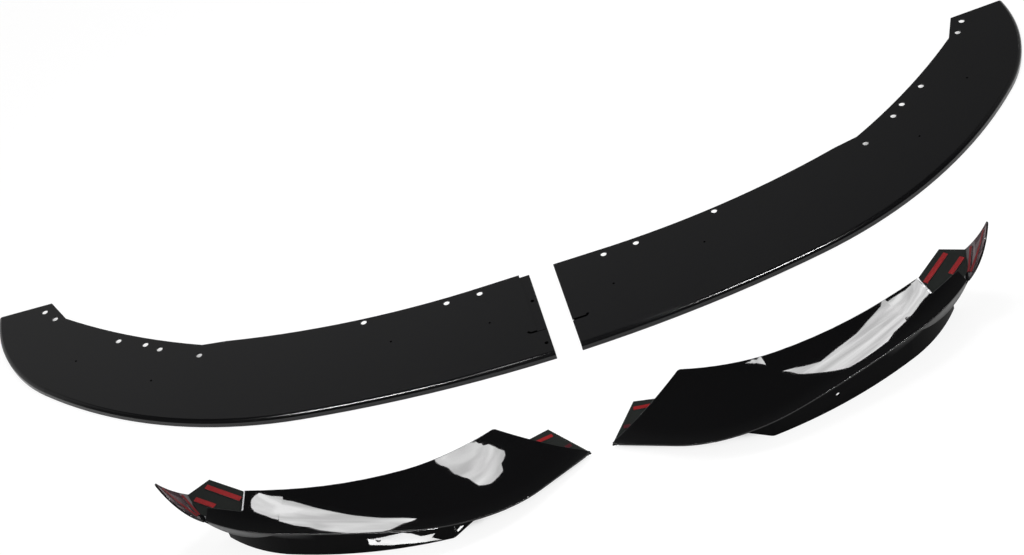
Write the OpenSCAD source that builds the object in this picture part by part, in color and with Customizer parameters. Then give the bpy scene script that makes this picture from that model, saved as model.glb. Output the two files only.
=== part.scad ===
// Front splitter lip kit: two lower blades and two corner blades with their tape strips.
// Right-hand pieces are drawn on the +X side and left-hand pieces are their mirror images.
// Z is up, Y points to the rear of the car and X to its right; all sizes in millimetres.

/* [Lower blade] */
// Thickness of the moulded sheet
sheet_t = 3; // [2.5:0.25:3.5]
// Height of the blade's upper face above the floor
rim_h = 14; // [12:0.5:16]
// Outer radius where the blade rolls over into its front rim
rim_round = 8; // [6:0.5:9]
// Diameter of the screw holes along the rear edge
screw_d = 10; // [8:0.5:11]
// Diameter of the two holes at the centre joint
joint_hole_d = 6; // [5:0.5:7]
// Diameter of the blind pilot marks
pilot_d = 3.5; // [2.5:0.5:4]
// Width of the relief slot at the centre joint
slot_w = 4; // [3:0.5:5]
// How far the centre tongue steps down
joggle = 3; // [2:0.5:4]

/* [Corner blade] */
// Thickness of the wing, fin and skirt
wing_t = 3; // [2.5:0.25:3.5]
// Slope of the wing from its inner tip outwards, in degrees
wing_slope = 6; // [5:0.25:7]
// Radius of the dish across the wing
dish_r = 340; // [300:10:400]
// Depth of the deepest part of the lip's outboard face
lip_face = 14; // [10:1:16]
// Diameter of the screw hole through the skirt
skirt_hole_d = 7; // [5:0.5:8]

/* [Tape] */
// Width of the strips on the outboard tab
tape_w = 8; // [6:0.5:9]
// Thickness of the foam
foam_t = 1.2; // [0.8:0.1:1.6]
// Thickness of the release liner
liner_t = 0.4; // [0.3:0.1:0.6]

/* [Hidden] */

// Lower blade front edge: three tangent arcs, from the centre line out to the wheel arch.
front_y = 682.9;
r_a = 2184.9;
turn_a = 11.2;
r_b = 719.6;
turn_b = 47.5;
r_c = 238.4;
turn_end = 98.4;
c_a = [0, front_y + r_a];
c_b = c_a + (r_a - r_b) * [sin(turn_a), -cos(turn_a)];
c_c = c_b + (r_b - r_c) * [sin(turn_b), -cos(turn_b)];
blade_depth = 205;
// Lower blade rear edge: outboard hollow, short shoulder, long inner hollow, straight centre.
hollow_out_c = [48.5, 1841.5];
hollow_out_r = 1037.5;
hollow_in_c = [100.9, 2319.7];
hollow_in_r = 1453.7;
centre_y = 866;
shoulder = [[508.5, 924.4], [548, 932.7]];
notch = [[764, 1091.5], [783, 1134.8]];
corner_d = c_c + r_c * [sin(turn_end), -cos(turn_end)];
// Screw holes along the rear edge, and the blind pilot marks.
screws = [
  [796.6, 1120.2], [781.1, 1096.7], [682.4, 1000.9], [640.1, 973.9], [618.6, 953.8],
  [557.7, 913.1], [290.9, 871.3], [156.8, 856.6], [102.6, 854.3]
];
pilots = [[755.7, 985.6], [640.3, 890.9], [257.4, 812.0], [101.3, 785.6]];
pilot_depth = 1;
// Centre joint.
right_end = 22;
left_end = 35;
tongue_end = 19;
slot_y = 738;
joint_holes = [[27.3, 805.6], [27.3, 708.3]];
sheet_z = rim_h - sheet_t;

// Wing frame: origin at the inner tip, u outwards along the slope, y to the rear, w up.
tip_x = 15;
tip_y = -1.8;
tip_z = 10;
lip_r1 = 322.4;
lip_turn1 = 10.9;
lip_r2 = 1588.4;
lip_turn2 = 18.5;
lip_r3 = 288.3;
lip_c1 = [209.8, 728.5];
lip_c2 = lip_c1 + (lip_r1 - lip_r2) * [sin(lip_turn1), -cos(lip_turn1)];
lip_c3 = lip_c2 + (lip_r2 - lip_r3) * [sin(lip_turn2), -cos(lip_turn2)];
wing_depth = 175;
// Wing outline: peak, hollow rear edge, stepped outboard end.
peak_in = [129.6, 545.7];
peak_out = [134, 545.7];
hollow_low = [273, 515.7];
hollow_r1 = 337;
hollow_r2 = 725;
end_rear = [509.2, 555.2];
end_step = [518, 521];
end_nose = [566.2, 544.5];
end_lip = [571.6, 520.5];
tip = [0, 480.5];
// Front edge between the tip and the lip's first arc: a straight run and a tighter curve.
nose_end = [88, 433.3];
nose_turn = 28;
nose_r = 206.5;
nose_c = nose_end + nose_r * [sin(nose_turn), cos(nose_turn)];
// Outboard tab, stepped down from the wing, and the fin that rises from its outer edge.
tab_drop = 2;
tab_in = [511, 562.4];
tab_rear = [556.9, 599.6];
crease_rear = [591.5, 580.6];
crease_front = [574.6, 523.6];
crease_turn = atan2(crease_rear[1] - crease_front[1], crease_rear[0] - crease_front[0]);
crease_len = norm(crease_rear - crease_front);
crease_way = (crease_rear - crease_front) / crease_len;
crease_out = [crease_way[1], -crease_way[0]];
fin_top = [63.9, 63];
fin_blunt = [crease_len, 0] + (fin_top - [crease_len, 0]) * 0.975;
fin_lean = 39.3;
fin_curve_r = 165;
fin_edge_r = 105.8;
fin_edge_c = [99.3, -36.7];
fin_sag = fin_curve_r - sqrt(pow(fin_curve_r, 2) - pow(fin_top[1] / 2, 2));
// Inner tab, and the way along the wing's inner edge with the small ledge in from it.
inner_way = (peak_in - tip) / norm(peak_in - tip);
inner_in = 0.4 * [inner_way[1], -inner_way[0]];
inner_drop = 4;
inner_rear = [51.9, 545];
inner_root = [114.5, 524];
// Skirt below the lip, standing on the floor: a main arc through two points, a tighter arc at its
// outboard end, and a small round at its inner end that leads to a flat end wall.
skirt_near = [246.4, 407.6];
skirt_far = [476.9, 467];
skirt_r = 736.8;
skirt_r_out = 227.3;
skirt_to = 52;
skirt_r_in = 14;
skirt_back = -31.7;
skirt_end = 50;
skirt_chord = skirt_far - skirt_near;
skirt_way = [-skirt_chord[1], skirt_chord[0]] / norm(skirt_chord);
skirt_c = (skirt_near + skirt_far) / 2 + skirt_way * sqrt(pow(skirt_r, 2) - pow(norm(skirt_chord) / 2, 2));
skirt_from = atan2(skirt_near[0] - skirt_c[0], skirt_c[1] - skirt_near[1]);
skirt_mid = atan2(skirt_far[0] - skirt_c[0], skirt_c[1] - skirt_far[1]);
skirt_c_out = skirt_c + (skirt_r - skirt_r_out) * [sin(skirt_mid), -cos(skirt_mid)];
skirt_c_in = skirt_c + (skirt_r - skirt_r_in) * [sin(skirt_from), -cos(skirt_from)];
skirt_hole_turn = 13.2;
skirt_hole_z = 25;
// Tape strips: the two ends of each one's middle line, on its tab or on the fin, and its width.
tab_rear_strip = [[563, 586], [516, 547], tape_w];
tab_front_strip = [[582, 567], [555, 545], tape_w];
fin_long_strip = [[8, 8], [56, 52], tape_w - 2];
fin_low_strip = [[11.5, 3.6], [54, 14], tape_w - 3];
inner_rear_strip = [[48.5, 530.8], [78, 523.2], tape_w - 2];
inner_tip_strip = [[26, 504.6], [35, 501.8], tape_w - 2];

// Blocks that only cut reach this far past the piece.
room = 400;

// How the left corner blade lies, apart from the mirror image of the right one.
left_way = [0, -2.3];
left_turn = 0.7;

// The whole kit is moved so that the origin is the middle of its footprint.
shift_y = -(corner_d[1] + lip_c1[1] - lip_r1 + tip_y) / 2;
e = 0.01;
// Sectors that meet reach this many degrees into each other. Where a middle sector has flat faces
// it is also this much thinner all over, so that it sits inside its neighbours' ends.
lap = 0.02;
hair = 0.04;

// A ring sector about centre c, from turn a0 to a1, turn 0 facing the front; profile from children.
module arc_sector(c, a0, a1) {
  translate([c[0], c[1], 0])
    rotate([0, 0, a0 - 90])
      rotate_extrude(angle = a1 - a0, $fn = 180)
        children();
}

// A block beside the line p to q, on its right-hand side.
module wall(p, q, t, z0, z1) {
  translate([p[0], p[1], z0])
    rotate([0, 0, atan2(q[1] - p[1], q[0] - p[0])])
      translate([0, -t, 0])
        cube([norm(q - p), t, z1 - z0]);
}

// Section of the lower blade: flat sheet of the given depth with the rolled front rim at radius r.
// Each round is drawn a little larger than its corner, so that it crosses the flats at a slight angle.
// The inset shrinks every face by a hair, so that a middle sector sits inside its neighbours' ends.
module rim_section(r, depth, inset) {
  difference() {
    intersection() {
      translate([r - depth, inset])
        square([depth - inset, rim_h - 2 * inset]);
      roll_mask(r, depth, rim_round + 1 - inset);
    }
    intersection() {
      translate([r - depth - 1, -1])
        square([depth + 1 - sheet_t + inset, sheet_z + 1 + inset]);
      roll_mask(r, depth, rim_round - sheet_t + 0.7 + inset);
    }
  }
}

module roll_mask(r, depth, round_r) {
  union() {
    translate([r - depth - 2, -2])
      square([depth + 2 - rim_round, rim_h + 4]);
    translate([r - rim_round - 0.5, rim_h - rim_round - 0.5])
      circle(r = round_r, $fn = 64);
    translate([r - rim_round - 1, -2])
      square([rim_round + 3, rim_h - rim_round + 2]);
  }
}

// Where the line p to q meets the line a to b.
function meet(p, q, a, b) =
  let (d = q - p, n = [a[1] - b[1], b[0] - a[0]])
    p + d * ((a - p) * n) / (d * n);

// Everything behind the rear edge of the blade: straight centre, long hollow, shoulder with the
// outboard hollow as far as the notch, and the straight outer end.
module rear_cut() {
  translate([-50, centre_y + 0.05, -1])
    cube([hollow_in_c[0] + 50, 300, rim_h + 2]);
  intersection() {
    translate([hollow_in_c[0], hollow_in_c[1], -1])
      cylinder(r = hollow_in_r, h = rim_h + 2, $fn = 360);
    translate([hollow_in_c[0] - 40, centre_y - 66, -1])
      cube([shoulder[0][0] + 60 - hollow_in_c[0], room, rim_h + 2]);
  }
  intersection() {
    translate([hollow_out_c[0], hollow_out_c[1], -1])
      cylinder(r = hollow_out_r, h = rim_h + 2, $fn = 360);
    translate([0, 0, -1])
      linear_extrude(rim_h + 2)
        polygon([
          shoulder[0] - (shoulder[1] - shoulder[0]) * 0.3, meet(shoulder[0], shoulder[1], notch[0], notch[1]),
          notch[1] + (notch[1] - notch[0]) * 3, shoulder[0] + [0, room]
        ]);
  }
  translate([0, 0, -1])
    linear_extrude(rim_h + 2)
      polygon([
        notch[1] + (notch[1] - corner_d) * 0.5, corner_d + (corner_d - notch[1]) * 0.5,
        [corner_d[0] + 60, notch[1][1] + room / 2], [notch[1][0] - 60, notch[1][1] + room / 2]
      ]);
}

// The blade with its rim and holes, reaching in to x = end_x.
module blade_body(end_x) {
  difference() {
    union() {
      arc_sector(c_a, 0, turn_a)
        rim_section(r_a, blade_depth, 0);
      arc_sector(c_b, turn_a - lap, turn_b + lap)
        rim_section(r_b, blade_depth + 10, hair);
      arc_sector(c_c, turn_b, turn_end + 12)
        rim_section(r_c, r_c - 1, 0);
    }
    rear_cut();
    translate([-100, 600, -1])
      cube([100 + end_x, 500, rim_h + 2]);
    for (p = screws)
      translate([p[0], p[1], sheet_z - 1])
        cylinder(d = screw_d, h = sheet_t + 2, $fn = 48);
    for (p = pilots)
      translate([p[0], p[1], rim_h - pilot_depth])
        cylinder(d = pilot_d, h = pilot_depth + 1, $fn = 24);
  }
}

// Hooked relief slot that runs in from the joint and turns to the rear.
module joint_slot(x0, len) {
  translate([x0 - 30, slot_y - slot_w / 2, sheet_z - joggle - 1])
    cube([30 + len, slot_w, sheet_t + joggle + 2]);
  translate([x0 + len, slot_y + slot_w * 1.5, sheet_z - joggle - 1])
    rotate([0, 0, -90])
      rotate_extrude(angle = 80, $fn = 48)
        translate([slot_w, 0])
          square([slot_w, sheet_t + joggle + 2]);
}

// Tongue of the left blade: stepped down behind the slot, level in front of it.
module tongue() {
  difference() {
    union() {
      translate([tongue_end, slot_y, sheet_z - joggle])
        cube([left_end + 8 - tongue_end, centre_y - 3 - slot_y, sheet_t]);
      translate([left_end + 5, slot_y, sheet_z - joggle])
        cube([3, centre_y - 3 - slot_y, sheet_t + joggle - e]);
      translate([tongue_end, front_y + rim_round, sheet_z])
        cube([left_end + 2 - tongue_end, slot_y - front_y - rim_round, sheet_t]);
      intersection() {
        arc_sector(c_a, 0, turn_a)
          rim_section(r_a, 30, 0);
        translate([tongue_end, front_y - 5, 0])
          cube([left_end + 2 - tongue_end, 40, rim_h]);
      }
    }
    translate([tongue_end, front_y - 5, 0])
      rotate([0, 35, 0])
        translate([-40, 0, -60])
          cube([40, 40, 60]);
    for (p = joint_holes)
      translate([p[0], p[1], 0])
        cylinder(d = joint_hole_d, h = rim_h + 1, $fn = 48);
  }
}

module right_blade_shape() {
  difference() {
    blade_body(right_end);
    joint_slot(right_end, 20);
  }
}

module left_blade_shape() {
  difference() {
    union() {
      blade_body(left_end);
      tongue();
    }
    joint_slot(left_end, 8);
  }
}

// Places its children in the wing frame.
module in_wing() {
  translate([tip_x, tip_y, tip_z])
    rotate([0, -wing_slope, 0])
      children();
}

// Section across the wing at lip radius r: a dished sheet.
module dish_section(r) {
  difference() {
    intersection() {
      translate([r - wing_depth, -80])
        square([wing_depth, 160]);
      translate([r, dish_r])
        circle(r = dish_r + wing_t, $fn = 360);
    }
    translate([r, dish_r])
      circle(r = dish_r, $fn = 360);
  }
}

// The dished sheet along the whole lip.
module dish() {
  arc_sector(lip_c1, -44, lip_turn1)
    dish_section(lip_r1);
  arc_sector(lip_c2, lip_turn1 - lap, lip_turn2 + lap)
    dish_section(lip_r2);
  arc_sector(lip_c3, lip_turn2, 46)
    dish_section(lip_r3);
}

// Points on an arc about c from turn a0 to a1, turn 0 facing the front.
function arc_points(c, r, a0, a1, n) = [
  for (i = [0:n])
    let (a = a0 + (a1 - a0) * i / n)
      c + r * [sin(a), -cos(a)]
];

// Outline of the wing seen from above, as a tall block.
module wing_outline() {
  peak_turn = -asin((hollow_low[0] - peak_out[0]) / hollow_r1);
  rear_turn = asin((end_rear[0] - hollow_low[0]) / hollow_r2);
  translate([0, 0, -30])
    linear_extrude(120)
      polygon(concat(
        [tip, peak_in],
        arc_points(hollow_low + [0, hollow_r1], hollow_r1, peak_turn, 0, 8),
        arc_points(hollow_low + [0, hollow_r2], hollow_r2, rear_turn / 8, rear_turn, 7),
        [end_step, end_nose, end_lip, end_lip + [2, -60], [300, 380], [lip_c1[0] - 50, 390]],
        arc_points(nose_c, nose_r, -12, -nose_turn, 5)
      ));
}

// Lip face: a short wall under the front edge that deepens towards the fin and fades again.
module lip_flange() {
  intersection() {
    arc_sector(lip_c3, lip_turn2, 41)
      translate([lip_r3 - wing_t, -lip_face - 1])
        square([wing_t, lip_face]);
    translate([528, 300, 114 - lip_face])
      rotate([-90, 0, 0])
        cylinder(r = 114, h = 300, $fn = 180);
  }
}

// Closing walls between the wing and the lower tabs.
module risers() {
  intersection() {
    union() {
      wall(end_rear, end_step, wing_t, -tab_drop - wing_t, 30);
      wall(end_step - (end_nose - end_step) * 0.06, end_nose, wing_t, -tab_drop - wing_t, 30);
      wall(end_nose, end_lip, wing_t, -tab_drop - wing_t, 30);
      wall(tip + inner_way * 5 + inner_in, peak_in - inner_way * 16 + inner_in, wing_t, -inner_drop - wing_t, 30);
    }
    union() {
      arc_sector(lip_c1, -42, lip_turn1)
        riser_section(lip_r1);
      arc_sector(lip_c3, lip_turn2, 46)
        riser_section(lip_r3);
    }
  }
}

module riser_section(r) {
  difference() {
    translate([r - wing_depth, -20])
      square([wing_depth, 60]);
    translate([r, dish_r])
      circle(r = dish_r + 1, $fn = 360);
  }
}

// Outboard tab under the end of the wing. It reaches into the foot of the fin.
module outboard_tab() {
  translate([0, 0, -tab_drop - wing_t])
    linear_extrude(wing_t)
      polygon([
        tab_in, tab_rear, crease_rear - crease_way + crease_out, crease_front + crease_way + crease_out,
        end_lip - [4, 3.5],
        end_step - [-14, 12], end_step - [6, 4], end_rear - [4, 6]
      ]);
}

// Inner tab under the inner edge of the wing.
module inner_tab() {
  translate([0, 0, -inner_drop - wing_t])
    linear_extrude(wing_t)
      polygon([tip + [1, 1], inner_rear, inner_root, inner_root - [8, 12], tip + [12, 0]]);
}

// Fin frame: x along the crease from its front end, y up the leaning fin, z out of its outer face.
module in_fin() {
  translate([crease_front[0], crease_front[1], -tab_drop])
    rotate([0, 0, crease_turn])
      rotate([90 + fin_lean, 0, 0])
        children();
}

// A curved layer of the fin between two distances from its inner face, positive inwards.
module fin_layer(d0, d1) {
  rotate([0, 90, 0])
    translate([fin_curve_r - fin_sag, fin_top[1] / 2, -120])
      difference() {
        cylinder(r = fin_curve_r - d0, h = 220, $fn = 180);
        translate([0, 0, -1])
          cylinder(r = fin_curve_r - d1, h = 222, $fn = 180);
      }
}

// Outline of the fin as a block across its faces.
module fin_outline() {
  intersection() {
    translate([0, 0, -40])
      linear_extrude(80)
        polygon([[-30, -2], [crease_len, -2], [crease_len, 0], fin_blunt, [-30, fin_blunt[1]]]);
    translate([fin_edge_c[0], fin_edge_c[1], -40])
      cylinder(r = fin_edge_r, h = 80, $fn = 180);
  }
}

module fin() {
  in_fin()
    intersection() {
      fin_layer(-wing_t, 0);
      fin_outline();
    }
}

// Skirt: a thin curved wall on the floor whose inner end turns back under the wing.
module skirt() {
  difference() {
    intersection() {
      union() {
        arc_sector(skirt_c_in, skirt_back, skirt_from)
          skirt_section(skirt_r_in, 0);
        translate([skirt_c_in[0], skirt_c_in[1], 0])
          rotate([0, 0, skirt_back])
            translate([-skirt_end, -skirt_r_in + hair, hair])
              cube([skirt_end + 0.1, wing_t - 2 * hair, 100]);
        arc_sector(skirt_c, skirt_from - lap, skirt_mid + lap)
          skirt_section(skirt_r, hair);
        arc_sector(skirt_c_out, skirt_mid, skirt_to)
          skirt_section(skirt_r_out, 0);
      }
      in_wing()
        translate([-room / 4, lip_c1[1] - lip_r1 - room / 4, -room / 2])
          cube([room * 2, room, room / 2]);
    }
    translate([skirt_c[0], skirt_c[1], skirt_hole_z])
      rotate([90, 0, skirt_hole_turn])
        translate([0, 0, skirt_r - wing_t - 2])
          cylinder(d = skirt_hole_d, h = wing_t + 4, $fn = 48);
  }
}

module skirt_section(r, inset) {
  translate([r - wing_t + inset, inset])
    square([wing_t - 2 * inset, 100]);
}

module corner_shape() {
  in_wing() {
    intersection() {
      dish();
      wing_outline();
    }
    lip_flange();
    risers();
    outboard_tab();
    inner_tab();
    fin();
  }
  skirt();
}

// Tape strips. Each is a flat bar on a tab, or a curved bar on the fin, from height h0 to h1.
module tab_strip(s, drop, h0, h1) {
  in_wing()
    translate([0, 0, h0 - drop])
      bar(s, h1 - h0);
}

module fin_strip(s, h0, h1) {
  in_wing()
    in_fin()
      intersection() {
        fin_layer(h0, h1);
        translate([0, 0, -40])
          bar(s, 80);
      }
}

// A bar of the given height along a strip's middle line.
module bar(s, h) {
  translate([s[0][0], s[0][1], 0])
    rotate([0, 0, atan2(s[1][1] - s[0][1], s[1][0] - s[0][0])])
      translate([0, -s[2] / 2, 0])
        cube([norm(s[1] - s[0]), s[2], h]);
}

module strip(kind, layer) {
  h0 = layer == "foam" ? 0 : foam_t;
  h1 = layer == "foam" ? foam_t : foam_t + liner_t;
  if (kind == "tab_rear") tab_strip(tab_rear_strip, tab_drop, h0, h1);
  if (kind == "tab_front") tab_strip(tab_front_strip, tab_drop, h0, h1);
  if (kind == "fin_long") fin_strip(fin_long_strip, h0, h1);
  if (kind == "fin_low") fin_strip(fin_low_strip, h0, h1);
  if (kind == "inner_rear") tab_strip(inner_rear_strip, inner_drop, h0, h1);
  if (kind == "inner_tip") tab_strip(inner_tip_strip, inner_drop, h0, h1);
}

module place(side) {
  translate([0, shift_y, 0])
    mirror([side == "left" ? 1 : 0, 0, 0])
      children();
}

// Lays a corner blade or its tape on the floor; the left one lies a little turned and further back.
module lay(side) {
  if (side == "left")
    translate([left_way[0] - tip_x, left_way[1] + tip[1] + shift_y, 0])
      rotate([0, 0, -left_turn])
        translate([tip_x, -tip[1] - shift_y, 0])
          place(side)
            children();
  else
    place(side)
      children();
}

module lower_blade_left() {
  color("#2b2b2d") place("left") left_blade_shape();
}

module lower_blade_right() {
  color("#2b2b2d") place("right") right_blade_shape();
}

module corner_blade_left() {
  color("#101011") lay("left") corner_shape();
}

module corner_blade_right() {
  color("#101011") lay("right") corner_shape();
}

module foam(kind, side) {
  color("#303030") lay(side) strip(kind, "foam");
}

module liner(kind, side) {
  color("#c8343e") lay(side) strip(kind, "liner");
}

lower_blade_left();
lower_blade_right();
corner_blade_left();
corner_blade_right();
foam("tab_rear", "left");  // foam_tab_rear_left
foam("tab_rear", "right");  // foam_tab_rear_right
liner("tab_rear", "left");  // liner_tab_rear_left
liner("tab_rear", "right");  // liner_tab_rear_right
foam("tab_front", "left");  // foam_tab_front_left
foam("tab_front", "right");  // foam_tab_front_right
liner("tab_front", "left");  // liner_tab_front_left
liner("tab_front", "right");  // liner_tab_front_right
foam("fin_long", "left");  // foam_fin_long_left
foam("fin_long", "right");  // foam_fin_long_right
liner("fin_long", "left");  // liner_fin_long_left
liner("fin_long", "right");  // liner_fin_long_right
foam("fin_low", "left");  // foam_fin_low_left
foam("fin_low", "right");  // foam_fin_low_right
liner("fin_low", "left");  // liner_fin_low_left
liner("fin_low", "right");  // liner_fin_low_right
foam("inner_rear", "left");  // foam_inner_rear_left
foam("inner_rear", "right");  // foam_inner_rear_right
liner("inner_rear", "left");  // liner_inner_rear_left
liner("inner_rear", "right");  // liner_inner_rear_right
foam("inner_tip", "left");  // foam_inner_tip_left
foam("inner_tip", "right");  // foam_inner_tip_right
liner("inner_tip", "left");  // liner_inner_tip_left
liner("inner_tip", "right");  // liner_inner_tip_right
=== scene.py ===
"""Looks for a front splitter lip kit: satin lower blades, gloss corner blades and their tape."""

import math

import bmesh
import bpy
from mathutils import Matrix, Vector


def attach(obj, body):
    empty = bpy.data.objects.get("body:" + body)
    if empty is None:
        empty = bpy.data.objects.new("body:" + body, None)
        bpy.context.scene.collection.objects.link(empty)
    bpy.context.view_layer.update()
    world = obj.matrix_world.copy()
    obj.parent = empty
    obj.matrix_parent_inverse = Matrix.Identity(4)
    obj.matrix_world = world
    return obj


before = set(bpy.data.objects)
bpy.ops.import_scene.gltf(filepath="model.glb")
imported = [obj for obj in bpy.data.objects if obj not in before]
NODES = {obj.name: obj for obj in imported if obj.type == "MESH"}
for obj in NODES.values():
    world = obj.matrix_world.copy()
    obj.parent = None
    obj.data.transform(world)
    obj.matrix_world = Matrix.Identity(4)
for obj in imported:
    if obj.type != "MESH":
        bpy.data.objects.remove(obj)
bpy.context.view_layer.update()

bl_info = {
    "name": "Front splitter lip",
    "version": (1, 0, 0),
    "blender": (4, 5, 0),
    "location": "View3D > Sidebar > Splitter",
    "description": "Dresses a front splitter lip kit laid out on a studio floor",
    "category": "Object",
}

SIDES = ("left", "right")
# Tape strips of each corner blade, and the tone of their release film. The bright tone is the
# film's own red; the two darker tones are painted shade on the fins and at the inner tips.
TAPES = {
    "tab_rear": "bright", "tab_front": "bright", "fin_long": "fin_in_shade", "fin_low": "fin_in_shade",
    "inner_rear": "bright", "inner_tip": "shaded",
}

# Glowing panels: name, glow against the key glow, height, and corners seen from above, in
# metres. The strips draw the highlight along the rims, and the two panels on the floor make the
# patches on the left skirt.
PANELS = (
    ("softbox_left", 1.0, 0.85, (
        (-0.582, 0.144), (-0.584, 0.086), (-0.505, 0.066), (-0.452, 0.086), (-0.393, 0.12),
        (-0.33, 0.156), (-0.271, 0.18), (-0.221, 0.187), (-0.196, 0.199), (-0.204, 0.225),
        (-0.239, 0.269), (-0.275, 0.287), (-0.322, 0.288), (-0.371, 0.284), (-0.423, 0.267),
        (-0.475, 0.223), (-0.507, 0.206), (-0.543, 0.203),
    )),
    ("softbox_middle", 1.0, 0.3, (
        (-0.229, -0.242), (-0.202, -0.245), (-0.157, -0.245), (-0.117, -0.242), (-0.093, -0.235),
        (-0.056, -0.212), (-0.045, -0.199), (-0.048, -0.196), (-0.067, -0.197), (-0.074, -0.190),
        (-0.098, -0.192), (-0.111, -0.193), (-0.133, -0.201), (-0.151, -0.216), (-0.169, -0.226),
        (-0.197, -0.236),
    )),
    ("softbox_right", 1.0, 0.85, (
        (0.286, -0.036), (0.318, 0.017), (0.347, 0.056), (0.391, 0.051), (0.443, 0.054),
        (0.499, 0.032), (0.539, 0.016), (0.591, 0.052), (0.669, 0.129), (0.643, 0.165),
        (0.618, 0.208), (0.573, 0.197), (0.524, 0.207), (0.476, 0.222), (0.453, 0.25),
        (0.42, 0.25), (0.389, 0.245), (0.363, 0.233), (0.34, 0.17), (0.321, 0.11),
        (0.298, 0.038),
    )),
    ("softbox_small", 1.0, 0.85, (
        (0.2, -0.197), (0.289, -0.163), (0.265, -0.127), (0.249, -0.166),
    )),
    ("strip_left", 10.0, 1.6, ((-1.18, -1.29), (-0.5, -1.29), (-0.5, -1.15), (-1.18, -1.15))),
    ("strip_right", 10.0, 1.6, ((0.7, -1.29), (1.33, -1.29), (1.33, -1.15), (0.7, -1.15))),
    ("floor_glow_skirt", 11.0, 0.0006, (
        (-0.381, -0.363), (-0.373, -0.353), (-0.356, -0.3555), (-0.325, -0.358),
        (-0.295, -0.362), (-0.262, -0.364), (-0.277, -0.3685), (-0.2726, -0.3752),
        (-0.294, -0.3733), (-0.311, -0.378), (-0.3245, -0.3787), (-0.3475, -0.372),
        (-0.3706, -0.3653),
    )),
    ("floor_glow_end", 11.0, 0.0006, (
        (-0.2324, -0.3627), (-0.2201, -0.3569), (-0.2214, -0.3612), (-0.2291, -0.3652),
    )),
)

# Dark trays under the centre joint, painted shade seen through its holes and hooked slots: name,
# middle, half sizes, corner radius, bottom and top.
SHADE_TRAYS = (
    ("joint_pocket_rear", (-0.0273, 0.0334), (0.006, 0.006), 0.0059, 0.0025, 0.0079),
    ("joint_pocket_front", (-0.0273, -0.0639), (0.006, 0.006), 0.0059, 0.004, 0.0109),
    ("joint_pocket_hook_left", (-0.0365, -0.0277), (0.0165, 0.0105), 0.003, 0.0025, 0.0079),
    ("joint_pocket_hook_right", (0.0385, -0.0277), (0.0145, 0.0105), 0.003, 0.004, 0.0109),
)
SHADE_TRAY_WALL = 0.0012
QUARTER_STEPS = 6

# Floor of the pilot marks in the lower blades, which gets painted shade: its height, and how
# closely it is met.
PIT_HEIGHT = 0.013
PIT_REACH = 0.0003
LEVEL_FACE = 0.999

# Frame of the right corner blade's wing: its tip on the floor plan, its slope, and how the left
# one lies.
SHIFT_Y = -0.7722193
WING_TIP = (0.015, -0.0018 + SHIFT_Y, 0.01)
WING_SLOPE = math.radians(6)
TIP_Y = 0.4805 + SHIFT_Y
LEFT_TURN = math.radians(0.7)
LEFT_BACK = 0.0023

# Zones of a corner blade, in the wing's frame: along the wing, across it and up from it.
LIP_CENTRE = (0.382933, 0.738744)
LIP_RADIUS = 0.2883
LIP_MARGIN = 0.008
OUTBOARD_FROM = 0.505
INBOARD_TO = 0.12
TAB_TOP = -0.0012
TAB_BOTTOM = -0.0056
CREASE = (0.5746, 0.5236)
CREASE_OUT = (0.958747, -0.28426)
FILM_START = 0.003
FILM_FADE = (0.008, 0.055)
FILM_LEAN = -0.3
# Streaks: pale painted sheen on the fin's film, where it mirrors light at a grazing angle.
STREAKS_ACROSS = 110.0
STREAKS_UP = 14.0
STREAK_LEVELS = (0.4, 0.62)
STREAK_LEAST = 0.25
SKIRT_TOP = -0.002
# Band: where a painted reflection, a pale band, lies on the lip's face near the fin.
BAND_ALONG = (0.42, 0.54)
BAND_UP = (-0.02, -0.008)
BAND_STOP = -0.004
# End: where a painted highlight runs along the wing's outboard end.
WING_END = (0.5092, 0.5552)
END_OUT = (0.9685, 0.2492)
END_WIDTH = (-0.002, 0.0006)
END_LENGTH = 0.033
END_STOP = -0.03

# Brightness of the room that the gloss mirrors, by height angle in degrees, up to one radian.
ROOM = (
    (2, 1.0), (14, 1.0), (36, 0.72), (43, 0.58), (47, 0.41), (51, 0.11), (56, 0.04), (57.3, 0.03),
)
# The mirrored room is brighter on the left and dim on the camera's side.
ROOM_TILT = -2.0
ROOM_MIDDLE = 0.95
ROOM_BOUNDS = (0.5, 1.1)
ROOM_FRONT = (-0.25, 0.05)
ROOM_FRONT_LEVEL = 0.12

WHITE = (1.0, 1.0, 1.0, 1.0)
FLOOR_COLOR = (0.92, 0.92, 0.92, 1.0)
FLOOR_ROUGHNESS = 0.95
FLOOR_GLOW = 1.08
FLOOR_DROP = 0.0003
SHADE_REACH = 0.05
SHADE_LEVELS = (0.05, 0.3)
SHADE_SHARE = 0.8
# Where the camera aims, and how far it sees.
AIM_POINT = (-0.04605, 0.0934807, 0.014)
CLIP_END = 100
# Folds of the glowing cloths: turn, stretch, noise, and its span from dim to bright.
CLOTH_TURN = math.radians(-18)
CLOTH_STRETCH = (0.3, 1.5, 1)
CLOTH_FOLDS = {"Scale": 9, "Detail": 4, "Distortion": 1.5}
CLOTH_LEVELS = (0.38, 0.62)
CLOTH_DIM = 0.75
CLOTH_BRIGHT = 1.2
# Share of the light that a shine of 1 mirrors head-on.
FULL_SHINE = 0.08
# Depth of the moulding grain, and the radius that softens the corner blades' edges, in metres.
GRAIN_DEPTH = 0.0002
SOFT_EDGE = 0.0008
SOFT_EDGE_SAMPLES = 6


# Settings


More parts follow.
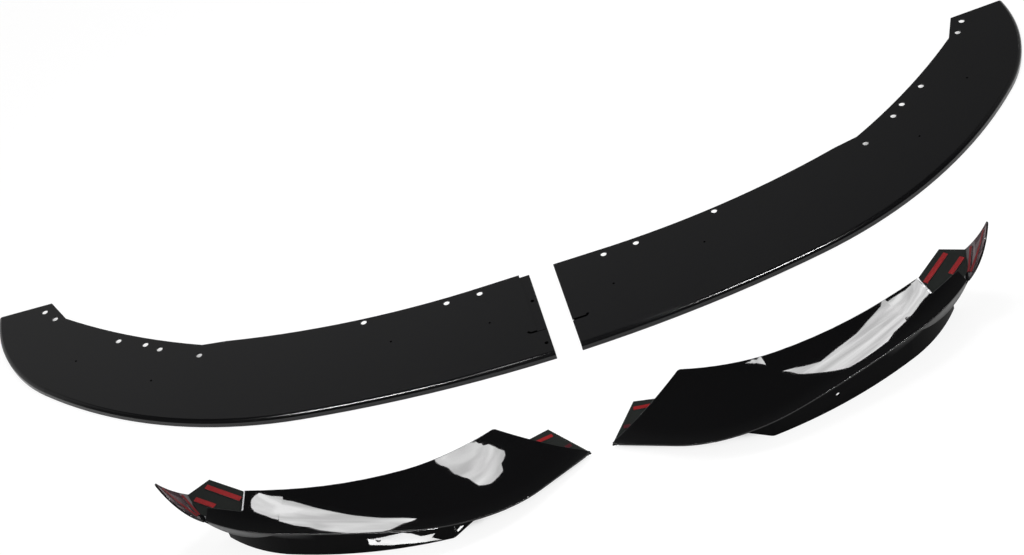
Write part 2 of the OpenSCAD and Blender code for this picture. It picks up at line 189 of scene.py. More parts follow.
class SPLITTER_PG_plastic(bpy.types.PropertyGroup):
    """Colours and finish of the satin and gloss mouldings."""

    satin_color: bpy.props.FloatVectorProperty(
        name="Satin colour", description="Colour of the lower blades", subtype="COLOR", size=4,
        min=0, max=1, default=(0.004, 0.004, 0.0044, 1.0),
    )
    satin_roughness: bpy.props.FloatProperty(
        name="Satin roughness", description="How dull the lower blades are", subtype="FACTOR",
        min=0, max=1, default=0.15,
    )
    satin_shine: bpy.props.FloatProperty(
        name="Satin shine", description="How strongly the lower blades mirror", subtype="FACTOR",
        min=0, max=1, default=0.29,
    )
    gloss_color: bpy.props.FloatVectorProperty(
        name="Gloss colour", description="Colour of the corner blades", subtype="COLOR", size=4,
        min=0, max=1, default=(0.004, 0.004, 0.0043, 1.0),
    )
    gloss_roughness: bpy.props.FloatProperty(
        name="Gloss roughness", description="How dull the corner blades are", subtype="FACTOR",
        min=0, max=1, default=0.022,
    )
    gloss_shine: bpy.props.FloatProperty(
        name="Gloss shine", description="How strongly the corner blades mirror",
        subtype="FACTOR", min=0, max=1, default=0.36,
    )
    skirt_shine: bpy.props.FloatProperty(
        name="Skirt shine", description="How strongly the skirts mirror", subtype="FACTOR",
        min=0, max=1, default=0.0125,
    )
    tab_color: bpy.props.FloatVectorProperty(
        name="Tab colour", description="Colour of the unpolished tabs", subtype="COLOR", size=4,
        min=0, max=1, default=(0.0167, 0.0182, 0.0172, 1.0),
    )
    tab_roughness: bpy.props.FloatProperty(
        name="Tab roughness", description="How dull the tabs are", subtype="FACTOR",
        min=0, max=1, default=0.5,
    )
    # The film's red, darkened as painted shade on the fin's inner face.
    film_shade_color: bpy.props.FloatVectorProperty(
        name="Film shade colour", description="Deep colour of the film on the fins", subtype="COLOR",
        size=4, min=0, max=1, default=(0.022, 0.007, 0.011, 1.0),
    )
    # Painted sheen: pale streaks laid over the film on the fins.
    sheen_streak_color: bpy.props.FloatVectorProperty(
        name="Sheen streak colour", description="Pale streaks of the film on the fins", subtype="COLOR",
        size=4, min=0, max=1, default=(0.6, 0.5, 0.51, 1.0),
    )
    sheen_streak_share: bpy.props.FloatProperty(
        name="Sheen streak share", description="How strongly the pale streaks cover the film",
        subtype="FACTOR", min=0, max=1, default=0.6,
    )
    film_roughness: bpy.props.FloatProperty(
        name="Film roughness", description="How dull the film on the fins is", subtype="FACTOR",
        min=0, max=1, default=0.3,
    )
    # Painted reflection: pale grey on the lip's face near the fin.
    band_reflection_color: bpy.props.FloatVectorProperty(
        name="Lip reflection colour", description="Colour of the lip's face near the fin",
        subtype="COLOR", size=4, min=0, max=1, default=(0.135, 0.135, 0.135, 1.0),
    )
    # Painted highlight: a pale line along the wing's outboard end.
    end_highlight_color: bpy.props.FloatVectorProperty(
        name="End highlight colour", description="Colour of the line at the wing's outboard end",
        subtype="COLOR", size=4, min=0, max=1, default=(0.62, 0.62, 0.64, 1.0),
    )
    # Painted shade: near-black on the floors of the pilot marks.
    pit_shade_color: bpy.props.FloatVectorProperty(
        name="Pilot mark shade colour", description="Colour inside the pilot marks", subtype="COLOR",
        size=4, min=0, max=1, default=(0.001, 0.001, 0.001, 1.0),
    )
    pit_shade_roughness: bpy.props.FloatProperty(
        name="Pilot mark shade roughness", description="How dull the pilot marks are",
        subtype="FACTOR", min=0, max=1, default=0.3,
    )
    # Painted shade: colour of the dark trays under the centre joint's holes and slots.
    shade_tray_color: bpy.props.FloatVectorProperty(
        name="Shade tray colour", description="Colour of the pockets under the centre joint",
        subtype="COLOR", size=4, min=0, max=1, default=(0.003, 0.003, 0.003, 1.0),
    )
    shade_tray_shine: bpy.props.FloatProperty(
        name="Shade tray shine", description="How strongly the pockets mirror", subtype="FACTOR",
        min=0, max=1, default=0.1,
    )


class SPLITTER_PG_tape(bpy.types.PropertyGroup):
    """Colours of the tape strips."""

    liner_color: bpy.props.FloatVectorProperty(
        name="Liner colour", description="Colour of the release film", subtype="COLOR", size=4,
        min=0, max=1, default=(0.225, 0.0058, 0.0078, 1.0),
    )
    # Painted shade: darker copies of the liner colour, for the fin strips and the inner tips.
    fin_liner_shade_color: bpy.props.FloatVectorProperty(
        name="Fin liner shade colour", description="Colour of the darker film on the fins",
        subtype="COLOR", size=4, min=0, max=1, default=(0.13, 0.006, 0.0085, 1.0),
    )
    shaded_color: bpy.props.FloatVectorProperty(
        name="Shaded liner colour", description="Colour of the film at the inner tips",
        subtype="COLOR", size=4, min=0, max=1, default=(0.06, 0.004, 0.008, 1.0),
    )
    liner_shine: bpy.props.FloatProperty(
        name="Liner shine", description="How strongly the release film mirrors",
        subtype="FACTOR", min=0, max=1, default=0.11,
    )
    foam_color: bpy.props.FloatVectorProperty(
        name="Foam colour", description="Colour of the foam core", subtype="COLOR", size=4,
        min=0, max=1, default=(0.03, 0.03, 0.032, 1.0),
    )


class SPLITTER_PG_studio(bpy.types.PropertyGroup):
    """Camera and lamps."""

    lens: bpy.props.FloatProperty(
        name="Lens", description="Focal length of the camera", unit="CAMERA", min=20, max=200,
        default=83.27,
    )
    azimuth: bpy.props.FloatProperty(
        name="Azimuth", description="Turn of the camera around the kit", subtype="ANGLE",
        default=math.radians(-0.999),
    )
    elevation: bpy.props.FloatProperty(
        name="Elevation", description="Height angle of the camera", subtype="ANGLE",
        default=math.radians(45),
    )
    roll: bpy.props.FloatProperty(
        name="Roll", description="Turn of the picture", subtype="ANGLE",
        default=math.radians(16.951),
    )
    distance: bpy.props.FloatProperty(
        name="Distance", description="Camera to the middle of the kit", unit="LENGTH",
        min=0.5, max=20, default=3.7422,
    )
    key_glow: bpy.props.FloatProperty(
        name="Softbox glow", description="Brightness of the softboxes' faces", min=0, max=100,
        default=20.5,
    )
    fill_glow: bpy.props.FloatProperty(
        name="Room light", description="Brightness of the room around the kit", min=0, max=3,
        default=0.75,
    )
    floor_size: bpy.props.FloatProperty(
        name="Floor size", description="Side of the studio floor", unit="LENGTH", min=4, max=60,
        default=30,
    )


# Shader helpers


def new_material(name):
    """A material with only a Principled shader and its output."""
    material = bpy.data.materials.new(name)
    material.use_nodes = True
    nodes = material.node_tree.nodes
    nodes.clear()
    output = nodes.new("ShaderNodeOutputMaterial")
    shader = nodes.new("ShaderNodeBsdfPrincipled")
    material.node_tree.links.new(shader.outputs["BSDF"], output.inputs["Surface"])
    return material, shader


def group_node(tree, group, **values):
    """Places a node group; an underscore in a value's name stands for a space."""
    node = tree.nodes.new("ShaderNodeGroup")
    node.node_tree = group
    for name, value in values.items():
        node.inputs[name.replace("_", " ")].default_value = value
    return node


def feed(tree, socket, value):
    """Sets a socket to a number or colour, or links it to another socket."""
    if isinstance(value, (int, float, tuple)):
        socket.default_value = value
    else:
        tree.links.new(value, socket)


def math_node(tree, operation, *values):
    """A Math node; each input is a socket or a number."""
    node = tree.nodes.new("ShaderNodeMath")
    node.operation = operation
    for socket, value in zip(node.inputs, values):
        feed(tree, socket, value)
    return node.outputs[0]


def dot_node(tree, first, second):
    """The scalar product of two vector sockets."""
    node = tree.nodes.new("ShaderNodeVectorMath")
    node.operation = "DOT_PRODUCT"
    tree.links.new(first, node.inputs[0])
    tree.links.new(second, node.inputs[1])
    return node.outputs["Value"]


def range_node(tree, value, start, end, low=0.0, high=1.0):
    """Stretches a value from start..end to low..high, and holds it there beyond."""
    node = tree.nodes.new("ShaderNodeMapRange")
    node.inputs["From Min"].default_value = start
    node.inputs["From Max"].default_value = end
    node.inputs["To Min"].default_value = low
    node.inputs["To Max"].default_value = high
    tree.links.new(value, node.inputs["Value"])
    return node.outputs["Result"]


def blend(tree, share, first, second):
    """Mixes two colours, or two numbers, by a share."""
    node = tree.nodes.new("ShaderNodeMix")
    numbers = isinstance(second, (int, float))
    node.data_type = "FLOAT" if numbers else "RGBA"
    slots = (2, 3) if numbers else (6, 7)
    tree.links.new(share, node.inputs[0])
    for index, value in zip(slots, (first, second)):
        feed(tree, node.inputs[index], value)
    return node.outputs[0 if numbers else 2]


def mix_shader(tree, share, first, second):
    """Mixes two shader outputs by a share."""
    node = tree.nodes.new("ShaderNodeMixShader")
    tree.links.new(share, node.inputs["Fac"])
    tree.links.new(first, node.inputs[1])
    tree.links.new(second, node.inputs[2])
    return node.outputs[0]


def moulded_surface_group():
    """Fine moulding texture: slow colour drift, roughness cloud and a height for a Bump node."""
    group = bpy.data.node_groups.get("Moulded surface")
    if group:
        return group
    group = bpy.data.node_groups.new("Moulded surface", "ShaderNodeTree")
    face = group.interface
    for name, value in (
        ("Grain scale", 900.0), ("Cloud scale", 6.0), ("Drift", 0.1), ("Dull", 0.4),
        ("Spread", 0.05),
    ):
        socket = face.new_socket(name, in_out="INPUT", socket_type="NodeSocketFloat")
        socket.default_value = value
    face.new_socket("Base", in_out="INPUT", socket_type="NodeSocketColor")
    face.new_socket("Color", in_out="OUTPUT", socket_type="NodeSocketColor")
    face.new_socket("Roughness", in_out="OUTPUT", socket_type="NodeSocketFloat")
    face.new_socket("Height", in_out="OUTPUT", socket_type="NodeSocketFloat")
    nodes, links = group.nodes, group.links
    source = nodes.new("NodeGroupInput")
    target = nodes.new("NodeGroupOutput")
    place = nodes.new("ShaderNodeTexCoord")
    noises = {}
    for name, detail in (("Grain", 2), ("Cloud", 3)):
        noise = nodes.new("ShaderNodeTexNoise")
        noise.inputs["Detail"].default_value = detail
        links.new(place.outputs["Object"], noise.inputs["Vector"])
        links.new(source.outputs[f"{name} scale"], noise.inputs["Scale"])
        noises[name] = noise.outputs["Fac"]
    centred = math_node(group, "SUBTRACT", noises["Cloud"], 0.5)
    rough = math_node(
        group, "MULTIPLY_ADD", centred, source.outputs["Spread"], source.outputs["Dull"],
    )
    gain = math_node(group, "MULTIPLY_ADD", centred, source.outputs["Drift"], 1.0)
    tint = nodes.new("ShaderNodeVectorMath")
    tint.operation = "SCALE"
    links.new(source.outputs["Base"], tint.inputs[0])
    links.new(gain, tint.inputs["Scale"])
    links.new(tint.outputs[0], target.inputs["Color"])
    links.new(rough, target.inputs["Roughness"])
    links.new(noises["Grain"], target.inputs["Height"])
    return group


def wing_zones_group():
    """Masks of a corner blade, worked out in the wing's own frame.

    Tab is 1 on the two stepped tabs, Film on the fin's inner face, where the film's red is
    darkened as painted shade, Fin on the film's pale streaks of painted sheen, Skirt below the
    lip, Band on a painted reflection on the lip's face near the fin, and End on a painted
    highlight along the wing's outboard end.
    """
    group = bpy.data.node_groups.get("Wing zones")
    if group:
        return group
    group = bpy.data.node_groups.new("Wing zones", "ShaderNodeTree")
    for name in ("Along", "Across", "Up", "Start"):
        group.interface.new_socket(name, in_out="INPUT", socket_type="NodeSocketVector")
    source = group.nodes.new("NodeGroupInput")
    place = group.nodes.new("ShaderNodeTexCoord")
    start = group.nodes.new("ShaderNodeSeparateXYZ")
    group.links.new(source.outputs["Start"], start.inputs[0])

    def times(*values):
        result = values[0]
        for value in values[1:]:
            result = math_node(group, "MULTIPLY", result, value)
        return result

    def above(value, level):
        return math_node(group, "GREATER_THAN", value, level)

    def below(value, level):
        return math_node(group, "LESS_THAN", value, level)

    def beyond(point, out):
        """How far a place lies beyond a point of the wing, in a direction."""
        return math_node(
            group, "ADD",
            times(math_node(group, "SUBTRACT", along, point[0]), out[0]),
            times(math_node(group, "SUBTRACT", across, point[1]), out[1]),
        )

    spot = place.outputs["Object"]
    along, across, up = (
        math_node(group, "ADD", dot_node(group, spot, source.outputs[name]), offset)
        for name, offset in zip(("Along", "Across", "Up"), start.outputs)
    )
    east = math_node(group, "SUBTRACT", along, LIP_CENTRE[0])
    north = math_node(group, "SUBTRACT", across, LIP_CENTRE[1])
    reach = math_node(
        group, "POWER", math_node(group, "ADD", times(east, east), times(north, north)), 0.5,
    )
    outboard = times(above(along, OUTBOARD_FROM), below(reach, LIP_RADIUS - LIP_MARGIN))
    ends = math_node(group, "MAXIMUM", outboard, below(along, INBOARD_TO))
    tab = times(below(up, TAB_TOP), above(up, TAB_BOTTOM), ends)

    past_crease = beyond(CREASE, CREASE_OUT)
    lean = group.nodes.new("ShaderNodeNewGeometry")
    inward = dot_node(group, lean.outputs["True Normal"], source.outputs["Along"])
    film = times(above(past_crease, FILM_START), below(inward, FILM_LEAN))
    # Fin: pale streaks of painted sheen over the film.
    streaks = group.nodes.new("ShaderNodeTexNoise")
    streaks.inputs["Scale"].default_value = 1
    streaks.inputs["Detail"].default_value = 1
    weave = group.nodes.new("ShaderNodeCombineXYZ")
    group.links.new(times(across, STREAKS_ACROSS), weave.inputs[0])
    group.links.new(times(up, STREAKS_UP), weave.inputs[1])
    group.links.new(weave.outputs[0], streaks.inputs["Vector"])
    pale = range_node(group, streaks.outputs["Fac"], *STREAK_LEVELS, STREAK_LEAST)
    fin = times(range_node(group, past_crease, *FILM_FADE), film, pale)

    skirt = math_node(
        group, "MAXIMUM",
        times(below(up, SKIRT_TOP), math_node(group, "SUBTRACT", 1.0, ends)),
        below(up, TAB_BOTTOM),
    )
    # Band: a painted reflection on the lip's face near the fin.
    band = times(
        range_node(group, along, *BAND_ALONG), range_node(group, up, *BAND_UP), skirt,
        below(past_crease, BAND_STOP),
    )
    # End: a painted highlight along the wing's outboard end.
    past_end = beyond(WING_END, END_OUT)
    end = times(
        above(past_end, END_WIDTH[0]), below(past_end, END_WIDTH[1]),
        above(across, WING_END[1] - END_LENGTH), above(up, 0.0), below(past_crease, END_STOP),
    )
    target = group.nodes.new("NodeGroupOutput")
    for name, value in (
        ("Tab", tab), ("Fin", fin), ("Skirt", skirt), ("Band", band), ("End", end), ("Film", film),
    ):
        group.interface.new_socket(name, in_out="OUTPUT", socket_type="NodeSocketFloat")
        group.links.new(value, target.inputs[name])
    return group


def wing_frame(side):
    lay = Matrix.Identity(4)
    if side == "left":
        lay = (
            Matrix.Diagonal((-1, 1, 1, 1))
            @ Matrix.Translation((-WING_TIP[0], TIP_Y, 0))
            @ Matrix.Rotation(LEFT_TURN, 4, "Z")
            @ Matrix.Translation((WING_TIP[0], -TIP_Y + LEFT_BACK, 0))
        )
    tilt = Matrix.Translation(WING_TIP) @ Matrix.Rotation(-WING_SLOPE, 4, "Y")
    return tilt.inverted() @ lay


def dressed_material(name, base, bump, soft_edge=0.0, **values):
    """A Principled material fed by the moulded surface group.

    A soft_edge radius rounds the corners in the shading, of the clear coat too.
    """
    material, shader = new_material(name)
    tree = material.node_tree
    surface = group_node(tree, moulded_surface_group(), Base=base, **values)
    relief = tree.nodes.new("ShaderNodeBump")
    relief.inputs["Strength"].default_value = bump
    relief.inputs["Distance"].default_value = GRAIN_DEPTH
    if soft_edge:
        edge = tree.nodes.new("ShaderNodeBevel")
        edge.samples = SOFT_EDGE_SAMPLES
        edge.inputs["Radius"].default_value = soft_edge
        tree.links.new(edge.outputs["Normal"], relief.inputs["Normal"])
        tree.links.new(edge.outputs["Normal"], shader.inputs["Coat Normal"])
    tree.links.new(surface.outputs["Color"], shader.inputs["Base Color"])
    tree.links.new(surface.outputs["Roughness"], shader.inputs["Roughness"])
    tree.links.new(surface.outputs["Height"], relief.inputs["Height"])
    tree.links.new(relief.outputs["Normal"], shader.inputs["Normal"])
    return material, shader


def dress(obj, material):
    """Gives an object one material."""
    obj.data.materials.clear()
    obj.data.materials.append(material)


# Mesh helpers


def rounded_ring(middle, half, radius):
    """Outline of a rectangle with round corners, anticlockwise from the right."""
    points = []
    for quarter, (east, north) in enumerate(((1, 1), (-1, 1), (-1, -1), (1, -1))):
        for step in range(QUARTER_STEPS + 1):
            angle = math.pi / 2 * (quarter + step / QUARTER_STEPS)
            points.append((
                middle[0] + east * (half[0] - radius) + radius * math.cos(angle),
                middle[1] + north * (half[1] - radius) + radius * math.sin(angle),
            ))
    return points


def shade_tray_mesh(name, middle, half, radius, low, high):
    """An open tray with walls and a bottom of the same thickness."""
    inside = (half[0] - SHADE_TRAY_WALL, half[1] - SHADE_TRAY_WALL)
    levels = (
        (half, radius, low), (half, radius, high), (inside, radius - SHADE_TRAY_WALL, high),
        (inside, radius - SHADE_TRAY_WALL, low + SHADE_TRAY_WALL),
    )
    build = bmesh.new()
    rings = [
        [build.verts.new((x, y, height)) for x, y in rounded_ring(middle, size, corner)]
        for size, corner, height in levels
    ]
    for under, over in zip(rings, rings[1:]):
        for index in range(len(under)):
            after = (index + 1) % len(under)
            build.faces.new((under[index], under[after], over[after], over[index]))
    build.faces.new(list(reversed(rings[0])))
    build.faces.new(rings[-1])
    mesh = bpy.data.meshes.new(name)
    build.to_mesh(mesh)
    build.free()
    return mesh


def flat_piece(context, name, corners, height):
    """A flat polygon in the scene; it faces up where its corners run anticlockwise."""
    mesh = bpy.data.meshes.new(name)
    mesh.from_pydata([(x, y, height) for x, y in corners], [], [tuple(range(len(corners)))])
    piece = bpy.data.objects.new(name, mesh)
    context.scene.collection.objects.link(piece)
    return piece


# Operators


class SPLITTER_OT_lower_blades(bpy.types.Operator):
    """Give the two lower blades their satin plastic"""

    bl_idname = "splitter.lower_blades"
    bl_label = "Lower blades"

    def execute(self, context):
        settings = context.scene.splitter_plastic
        material, shader = dressed_material(
            "satin_black", tuple(settings.satin_color), 0.12,
            Grain_scale=700, Cloud_scale=5, Drift=0.25, Dull=settings.satin_roughness, Spread=0.06,
        )
        shader.inputs["Specular IOR Level"].default_value = settings.satin_shine
        tree = material.node_tree
        place = tree.nodes.new("ShaderNodeNewGeometry")
        height = tree.nodes.new("ShaderNodeSeparateXYZ")
        facing = tree.nodes.new("ShaderNodeSeparateXYZ")
        tree.links.new(place.outputs["Position"], height.inputs[0])
        tree.links.new(place.outputs["True Normal"], facing.inputs[0])
        level = math_node(tree, "COMPARE", height.outputs["Z"], PIT_HEIGHT, PIT_REACH)
        facing_up = math_node(tree, "GREATER_THAN", facing.outputs["Z"], LEVEL_FACE)
        pit = math_node(tree, "MULTIPLY", level, facing_up)
        color = shader.inputs["Base Color"].links[0].from_socket
        rough = shader.inputs["Roughness"].links[0].from_socket
        # Painted shade: a dull, near-black metal on the floors hardly scatters or mirrors, so the
        # marks read as dark pits.
        color = blend(tree, pit, color, tuple(settings.pit_shade_color))
        tree.links.new(color, shader.inputs["Base Color"])
        rough = blend(tree, pit, rough, settings.pit_shade_roughness)
        tree.links.new(rough, shader.inputs["Roughness"])
        tree.links.new(pit, shader.inputs["Metallic"])
        for side in SIDES:
            dress(NODES[f"lower_blade_{side}"], material)
        return {"FINISHED"}


class SPLITTER_OT_corner_blades(bpy.types.Operator):
    """Give the two corner blades their gloss finish"""

    bl_idname = "splitter.corner_blades"
    bl_label = "Corner blades"

    def execute(self, context):
        settings = context.scene.splitter_plastic
        for side in SIDES:
            dress(NODES[f"corner_blade_{side}"], self.gloss(side, settings))
        return {"FINISHED"}

    def gloss(self, side, settings):
        """Black plastic under a clear coat, which the skirt, the tabs and the film lack."""
        material, shader = dressed_material(
            f"gloss_black_{side}", tuple(settings.gloss_color), 0.02, soft_edge=SOFT_EDGE,
            Grain_scale=60, Cloud_scale=4, Drift=0.2, Dull=settings.gloss_roughness, Spread=0.03,
        )
        tree = material.node_tree
        rows = wing_frame(side)
        masks = group_node(
            tree, wing_zones_group(), Along=tuple(rows[0])[:3], Across=tuple(rows[1])[:3],
            Up=tuple(rows[2])[:3], Start=(rows[0][3], rows[1][3], rows[2][3]),
        ).outputs
        color = shader.inputs["Base Color"].links[0].from_socket
        # Painted sheen: the pale streaks over the film on the fins.
        painted_sheen = math_node(tree, "MULTIPLY", masks["Fin"], settings.sheen_streak_share)
        # Painted shade on the film, sheen in the streaks, reflection on the Band, highlight at the
        # End.
        for share, paint in (
            (masks["Tab"], settings.tab_color), (masks["Film"], settings.film_shade_color),
            (painted_sheen, settings.sheen_streak_color), (masks["Band"], settings.band_reflection_color),
            (masks["End"], settings.end_highlight_color),
        ):
            color = blend(tree, share, color, tuple(paint))
        rough = shader.inputs["Roughness"].links[0].from_socket
        rough = blend(tree, masks["Tab"], rough, settings.tab_roughness)
        rough = blend(tree, masks["Fin"], rough, settings.film_roughness)
        bare = math_node(tree, "SUBTRACT", masks["Skirt"], masks["Band"])
        for zone in ("Tab", "Fin"):
            bare = math_node(tree, "MAXIMUM", bare, masks[zone])
        coat = math_node(tree, "SUBTRACT", 1.0, bare)
        tree.links.new(color, shader.inputs["Base Color"])
        tree.links.new(rough, shader.inputs["Roughness"])
        tree.links.new(coat, shader.inputs["Coat Weight"])
        mirror = math.sqrt(FULL_SHINE * (settings.gloss_shine - settings.skirt_shine))
        shader.inputs["Specular IOR Level"].default_value = settings.skirt_shine
        shader.inputs["Coat IOR"].default_value = (1 + mirror) / (1 - mirror)
        shader.inputs["Coat Roughness"].default_value = settings.gloss_roughness
        return material


class SPLITTER_OT_tape(bpy.types.Operator):
    """Finish the foam strips and their red release film"""

    bl_idname = "splitter.tape"
    bl_label = "Tape strips"

    def execute(self, context):
        settings = context.scene.splitter_tape
        foam, _ = dressed_material(
            "tape_foam", tuple(settings.foam_color), 0.6,
            Grain_scale=1500, Cloud_scale=40, Drift=0.3, Dull=0.85, Spread=0.05,
        )
        liners = {}
        # One red film: the bright copy is lit, the two darker copies are painted shade.
        for tone, color in (
            ("bright", settings.liner_color), ("fin_in_shade", settings.fin_liner_shade_color),
            ("shaded", settings.shaded_color),
        ):
            liners[tone], shader = dressed_material(
                f"tape_liner_{tone}", tuple(color), 0.15,
                Grain_scale=400, Cloud_scale=30, Drift=0.35, Dull=0.42, Spread=0.12,
            )
            shader.inputs["Specular IOR Level"].default_value = settings.liner_shine
        for tape, tone in TAPES.items():
            for side in SIDES:
                dress(NODES[f"foam_{tape}_{side}"], foam)
                dress(NODES[f"liner_{tape}_{side}"], liners[tone])
        return {"FINISHED"}


class SPLITTER_OT_shade_trays(bpy.types.Operator):
    """Add dark trays under the holes and hooked slots of the centre joint, as painted shade"""

    bl_idname = "splitter.joint_pockets"
    bl_label = "Joint shade trays"

    def execute(self, context):
        settings = context.scene.splitter_plastic
        # Painted shade: near-black trays where the floor under the joint lies in shade.
        material, shader = dressed_material(
            "shade_tray_black", tuple(settings.shade_tray_color), 0.3,
            Grain_scale=900, Cloud_scale=40, Drift=0.3, Dull=0.7, Spread=0.1,
        )
        shader.inputs["Specular IOR Level"].default_value = settings.shade_tray_shine
        for name, *sizes in SHADE_TRAYS:
            dark_tray = bpy.data.objects.new(name, shade_tray_mesh(name, *sizes))
            context.scene.collection.objects.link(dark_tray)
            dress(dark_tray, material)
            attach(dark_tray, "root")
        return {"FINISHED"}


class SPLITTER_OT_studio(bpy.types.Operator):
    """Build the floor, the lamps, the white background and the camera"""

    bl_idname = "splitter.studio"
    bl_label = "Studio"

    def execute(self, context):
        settings = context.scene.splitter_studio
        self.floor(context, settings.floor_size / 2)
        self.lamps(context, settings.key_glow)
        self.background(context, settings.fill_glow)
        self.camera(context, settings)
        context.scene.view_settings.view_transform = "Standard"
        return {"FINISHED"}

    def floor(self, context, half):
        corners = ((-half, -half), (half, -half), (half, half), (-half, half))
        floor = flat_piece(context, "studio_floor", corners, 0)
        floor.location.z = -FLOOR_DROP
        material, shader = new_material("studio_floor")
        shader.inputs["Base Color"].default_value = FLOOR_COLOR
        shader.inputs["Roughness"].default_value = FLOOR_ROUGHNESS
        tree = material.node_tree
        rays = tree.nodes.new("ShaderNodeLightPath").outputs
        seen = math_node(tree, "MAXIMUM", rays["Is Camera Ray"], rays["Is Glossy Ray"])
        seen = math_node(tree, "MAXIMUM", seen, rays["Is Transmission Ray"])
        cover = tree.nodes.new("ShaderNodeAmbientOcclusion")
        cover.inputs["Distance"].default_value = SHADE_REACH
        open_sky = range_node(tree, cover.outputs["AO"], *SHADE_LEVELS, 0.0, SHADE_SHARE)
        share = math_node(tree, "MULTIPLY", seen, open_sky)
        glow = tree.nodes.new("ShaderNodeEmission")
        glow.inputs["Strength"].default_value = FLOOR_GLOW
        face = mix_shader(tree, share, shader.outputs["BSDF"], glow.outputs["Emission"])
        clear = tree.nodes.new("ShaderNodeBsdfTransparent")
        facing = tree.nodes.new("ShaderNodeNewGeometry")
        both = mix_shader(tree, facing.outputs["Backfacing"], face, clear.outputs["BSDF"])
        tree.links.new(both, tree.nodes["Material Output"].inputs["Surface"])
        dress(floor, material)

    def cloth(self, name, glow):
        """A softly uneven glowing cloth, clear from behind."""
        material, shader = new_material(name)
        tree = material.node_tree
        nodes, links = tree.nodes, tree.links
        nodes.remove(shader)
        place = nodes.new("ShaderNodeTexCoord")
        drape = nodes.new("ShaderNodeMapping")
        drape.inputs["Rotation"].default_value = (0, 0, CLOTH_TURN)
        drape.inputs["Scale"].default_value = CLOTH_STRETCH
        folds = nodes.new("ShaderNodeTexNoise")
        for socket, value in CLOTH_FOLDS.items():
            folds.inputs[socket].default_value = value
        links.new(place.outputs["Object"], drape.inputs["Vector"])
        links.new(drape.outputs["Vector"], folds.inputs["Vector"])
        level = range_node(
            tree, folds.outputs["Fac"], *CLOTH_LEVELS, glow * CLOTH_DIM, glow * CLOTH_BRIGHT,
        )
        front = nodes.new("ShaderNodeEmission")
        links.new(level, front.inputs["Strength"])
        back = nodes.new("ShaderNodeBsdfTransparent")
        facing = nodes.new("ShaderNodeNewGeometry")
        both = mix_shader(
            tree, facing.outputs["Backfacing"], front.outputs["Emission"], back.outputs["BSDF"],
        )
        links.new(both, nodes["Material Output"].inputs["Surface"])
        return material

    def lamps(self, context, glow):
        """Hangs the panels face down and lays the floor panels face up.

        The camera sees none of them. The softboxes alone light matt surfaces, and the floor
        panels cast no shadow.
        """
        for name, factor, height, corners in PANELS:
            following = (*corners[1:], corners[0])
            turn = sum(a[0] * b[1] - b[0] * a[1] for a, b in zip(corners, following))
            on_floor = name.startswith("floor")
            ring = corners if (turn > 0) == on_floor else corners[::-1]
            panel = flat_piece(context, name, ring, height)
            panel.visible_camera = False
            panel.visible_diffuse = name.startswith("softbox")
            panel.visible_shadow = not on_floor
            dress(panel, self.cloth(f"{name}_cloth", glow * factor))

    def background(self, context, strength):
        """A plain fill for matt surfaces, a graded room for the gloss, and white to look at."""
        world = bpy.data.worlds.new("studio")
        world.use_nodes = True
        context.scene.world = world
        tree = world.node_tree
        nodes, links = tree.nodes, tree.links
        nodes.clear()
        output = nodes.new("ShaderNodeOutputWorld")
        place = nodes.new("ShaderNodeTexCoord")
        split = nodes.new("ShaderNodeSeparateXYZ")
        links.new(place.outputs["Generated"], split.inputs[0])
        rise = math_node(tree, "ARCSINE", split.outputs["Z"])
        rise.node.use_clamp = True
        ceiling = nodes.new("ShaderNodeValToRGB")
        stops = ceiling.color_ramp.elements
        for stop, (degrees, level) in zip(stops, (ROOM[0], ROOM[-1])):
            stop.position, stop.color = math.radians(degrees), (level, level, level, 1)
        for degrees, level in ROOM[1:-1]:
            stops.new(math.radians(degrees)).color = (level, level, level, 1)
        links.new(rise, ceiling.inputs["Fac"])
        fill = nodes.new("ShaderNodeBackground")
        fill.inputs["Strength"].default_value = strength
        sideways = math_node(tree, "MULTIPLY_ADD", split.outputs["X"], ROOM_TILT, ROOM_MIDDLE)
        bound = nodes.new("ShaderNodeClamp")
        bound.inputs["Min"].default_value, bound.inputs["Max"].default_value = ROOM_BOUNDS
        links.new(sideways, bound.inputs["Value"])
        front = range_node(tree, split.outputs["Y"], *ROOM_FRONT, ROOM_FRONT_LEVEL)
        mirrored = nodes.new("ShaderNodeBackground")
        links.new(ceiling.outputs["Color"], mirrored.inputs["Color"])
        dimmed = math_node(tree, "MULTIPLY", bound.outputs["Result"], front)
        links.new(dimmed, mirrored.inputs["Strength"])
        seen = nodes.new("ShaderNodeBackground")
        seen.inputs["Color"].default_value = WHITE
        rays = nodes.new("ShaderNodeLightPath").outputs
        direct = math_node(tree, "MAXIMUM", rays["Is Camera Ray"], rays["Is Transmission Ray"])
        light = mix_shader(tree, rays["Is Glossy Ray"], fill.outputs[0], mirrored.outputs[0])
        links.new(mix_shader(tree, direct, light, seen.outputs[0]), output.inputs["Surface"])

    def camera(self, context, settings):
        data = bpy.data.cameras.new("photo_camera")
        data.lens = settings.lens
        data.clip_end = CLIP_END
        camera = bpy.data.objects.new("photo_camera", data)
        turn, rise = settings.azimuth, settings.elevation
        level = math.cos(rise)
        back = Vector((math.sin(turn) * level, -math.cos(turn) * level, math.sin(rise)))
        right = Vector((math.cos(turn), math.sin(turn), 0))
        aim = Matrix((right, back.cross(right), back)).transposed().to_4x4()
        camera.matrix_world = (
            Matrix.Translation(Vector(AIM_POINT) + back * settings.distance)
            @ aim @ Matrix.Rotation(-settings.roll, 4, "Z")
        )
        context.scene.collection.objects.link(camera)
        context.scene.camera = camera


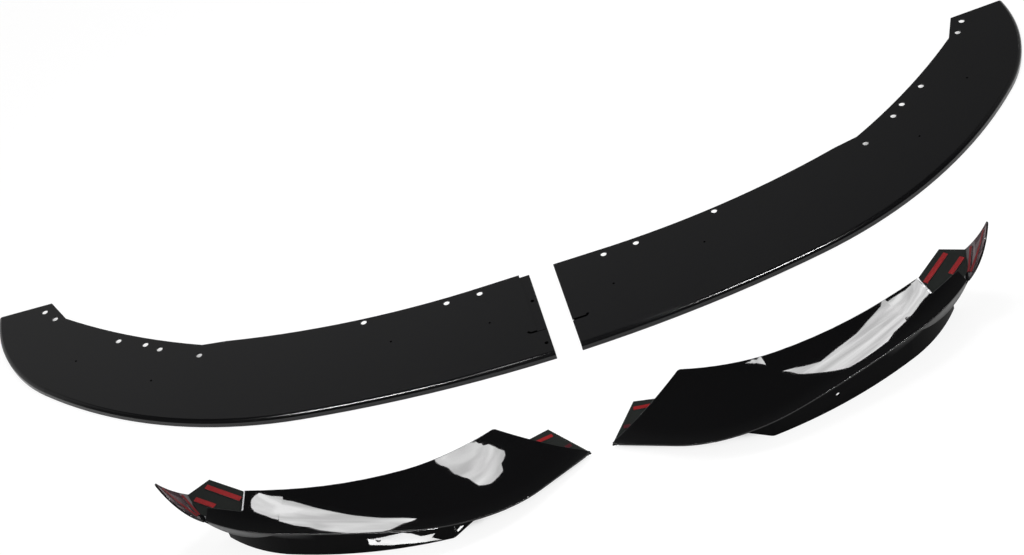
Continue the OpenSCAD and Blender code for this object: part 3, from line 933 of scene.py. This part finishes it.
class SPLITTER_PT_panel(bpy.types.Panel):
    bl_idname = "SPLITTER_PT_panel"
    bl_label = "Front splitter lip"
    bl_space_type = "VIEW_3D"
    bl_region_type = "UI"
    bl_category = "Splitter"

    def draw(self, context):
        scene = context.scene
        for settings, names in (
            (scene.splitter_plastic, (
                "satin_color", "satin_roughness", "satin_shine", "gloss_color", "gloss_roughness",
                "gloss_shine", "skirt_shine", "tab_color", "tab_roughness", "film_shade_color",
                "sheen_streak_color", "sheen_streak_share", "film_roughness", "band_reflection_color", "end_highlight_color",
                "pit_shade_color", "pit_shade_roughness", "shade_tray_color", "shade_tray_shine",
            )),
            (scene.splitter_tape, (
                "liner_color", "fin_liner_shade_color", "shaded_color", "liner_shine", "foam_color",
            )),
            (scene.splitter_studio, (
                "lens", "azimuth", "elevation", "roll", "distance", "key_glow", "fill_glow",
                "floor_size",
            )),
        ):
            box = self.layout.box()
            for name in names:
                box.prop(settings, name)
        for step in STEPS:
            self.layout.operator(step.bl_idname)


STEPS = (
    SPLITTER_OT_lower_blades, SPLITTER_OT_corner_blades, SPLITTER_OT_tape,
    SPLITTER_OT_shade_trays, SPLITTER_OT_studio,
)
CLASSES = (
    SPLITTER_PG_plastic, SPLITTER_PG_tape, SPLITTER_PG_studio, *STEPS, SPLITTER_PT_panel,
)


def register():
    for cls in CLASSES:
        bpy.utils.register_class(cls)
    scene = bpy.types.Scene
    scene.splitter_plastic = bpy.props.PointerProperty(type=SPLITTER_PG_plastic)
    scene.splitter_tape = bpy.props.PointerProperty(type=SPLITTER_PG_tape)
    scene.splitter_studio = bpy.props.PointerProperty(type=SPLITTER_PG_studio)


def unregister():
    scene = bpy.types.Scene
    del scene.splitter_plastic, scene.splitter_tape, scene.splitter_studio
    for cls in reversed(CLASSES):
        bpy.utils.unregister_class(cls)


def main():
    register()
    bpy.ops.splitter.lower_blades()
    bpy.ops.splitter.corner_blades()
    bpy.ops.splitter.tape()
    bpy.ops.splitter.joint_pockets()
    bpy.ops.splitter.studio()


if __name__ == "__main__":
    main()
